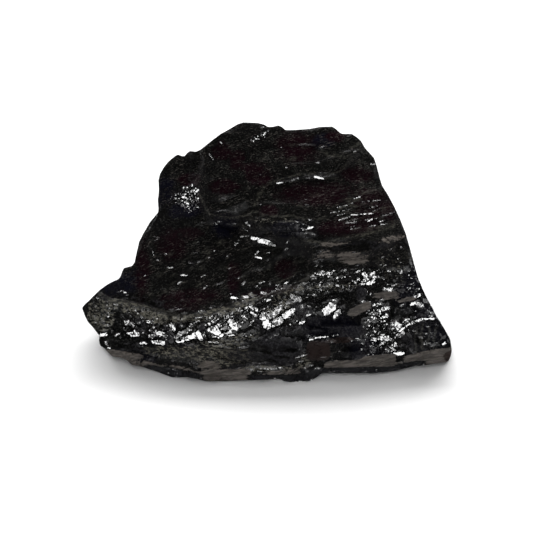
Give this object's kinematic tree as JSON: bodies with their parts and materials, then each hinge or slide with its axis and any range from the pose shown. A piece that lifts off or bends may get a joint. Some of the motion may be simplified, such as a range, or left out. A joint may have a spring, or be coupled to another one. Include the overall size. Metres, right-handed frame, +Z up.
{
  "type": "shungite nugget",
  "caption": "Rough wedge of glassy black shungite: a smooth, stepped upper side over a hackly, glittering front, with a flat base to rest on.",
  "frame": {"origin": "on the floor, at the middle of the nugget's box", "axes": "+Z up, +X along the nugget's length towards its square end, -Y the way the broken front looks"},
  "size_m": [0.0554, 0.038, 0.0261],
  "materials": {
    "shungite": "glassy black, broken surface with bright glints and a few satin grey faces"
  },
  "bodies": {
    "root": {"shungite_nugget": "shungite"}
  },
  "joints": []
}
